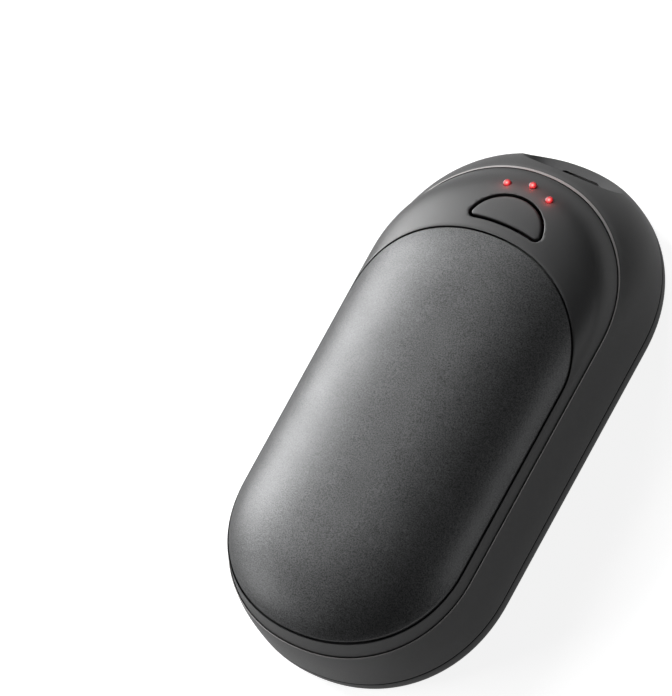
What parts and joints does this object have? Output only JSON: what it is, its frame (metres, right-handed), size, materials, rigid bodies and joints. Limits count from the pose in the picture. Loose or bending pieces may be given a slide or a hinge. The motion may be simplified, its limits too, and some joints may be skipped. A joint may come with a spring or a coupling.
{
  "type": "rechargeable hand warmer",
  "caption": "Rechargeable pocket hand warmer: a rounded casing with a pillow-shaped heated metal panel, a crescent power button, three indicator lamps and a hinged charge port cover.",
  "frame": {"origin": "centre of the flat back face, on the surface that the warmer lies on", "axes": "+Z out of the front through the heat panel, +Y towards the end with the button, +X across the width"},
  "size_m": [0.0508, 0.1, 0.0255],
  "materials": {
    "casing_grey": "satin",
    "panel_graphite": "bead blasted and anodised",
    "button_grey": "satin",
    "lamp_clear": "clear, lit red from below",
    "cover_rubber": "matte",
    "socket_steel": "plated",
    "dark_plastic": "moulded",
    "board_green": "solder mask",
    "plunger_white": "moulded",
    "diode_red": "clear",
    "chip_black": "moulded",
    "ferrite_grey": "sintered",
    "ceramic_tan": "fired",
    "connector_white": "moulded",
    "lead_red": "matte",
    "lead_black": "matte",
    "cell_sleeve": "shrink sleeve over a can",
    "insulator_paper": "paper",
    "nickel": "plain",
    "heater_film": "polyimide",
    "foam_grey": "foam",
    "heater_lead_white": "matte",
    "screw_steel": "plain"
  },
  "bodies": {
    "casing": {"back_shell": "casing_grey", "side_frame": "casing_grey", "front_bezel": "casing_grey", "front_heat_panel": "panel_graphite", "back_heat_panel": "panel_graphite", "light_guide": "lamp_clear", "cover_anchor": "cover_rubber", "charge_socket": "socket_steel", "socket_tongue": "dark_plastic", "main_board": "board_green", "tact_switch": "dark_plastic", "indicator_leds": "diode_red", "charger_chip": "chip_black", "control_chip": "chip_black", "power_inductor": "ferrite_grey", "board_capacitors": "ceramic_tan", "battery_socket": "connector_white", "battery_plug": "connector_white", "battery_lead_red": "lead_red", "battery_lead_black": "lead_black", "cell_left": "cell_sleeve", "cell_right": "cell_sleeve", "cell_insulators": "insulator_paper", "nickel_strip_top": "nickel", "nickel_strip_bottom": "nickel", "battery_cradle": "dark_plastic", "front_heater": "heater_film", "rear_heater": "heater_film", "front_foam_pad": "foam_grey", "rear_foam_pad": "foam_grey", "front_heater_leads": "heater_lead_white", "rear_heater_leads": "heater_lead_white", "thermistor": "lead_black", "casing_screws": "screw_steel"},
    "button": {"power_button": "button_grey", "switch_plunger": "plunger_white"},
    "cover": {"port_cover": "cover_rubber"}
  },
  "joints": [
    {"name": "button_press", "type": "slide", "parent": "casing", "child": "button", "axis": [0, 0, -1], "range_m": [0, 0.0004], "stiffness_N_per_m": 400, "springref_m": -0.001},
    {"name": "cover_hinge", "type": "hinge", "parent": "casing", "child": "cover", "pos_m": [-0.0119, 0.04655, 0.00645], "axis": [0, 0, -1], "range_deg": [0, 90], "stiffness_Nm_per_rad": 0.0005}
  ]
}
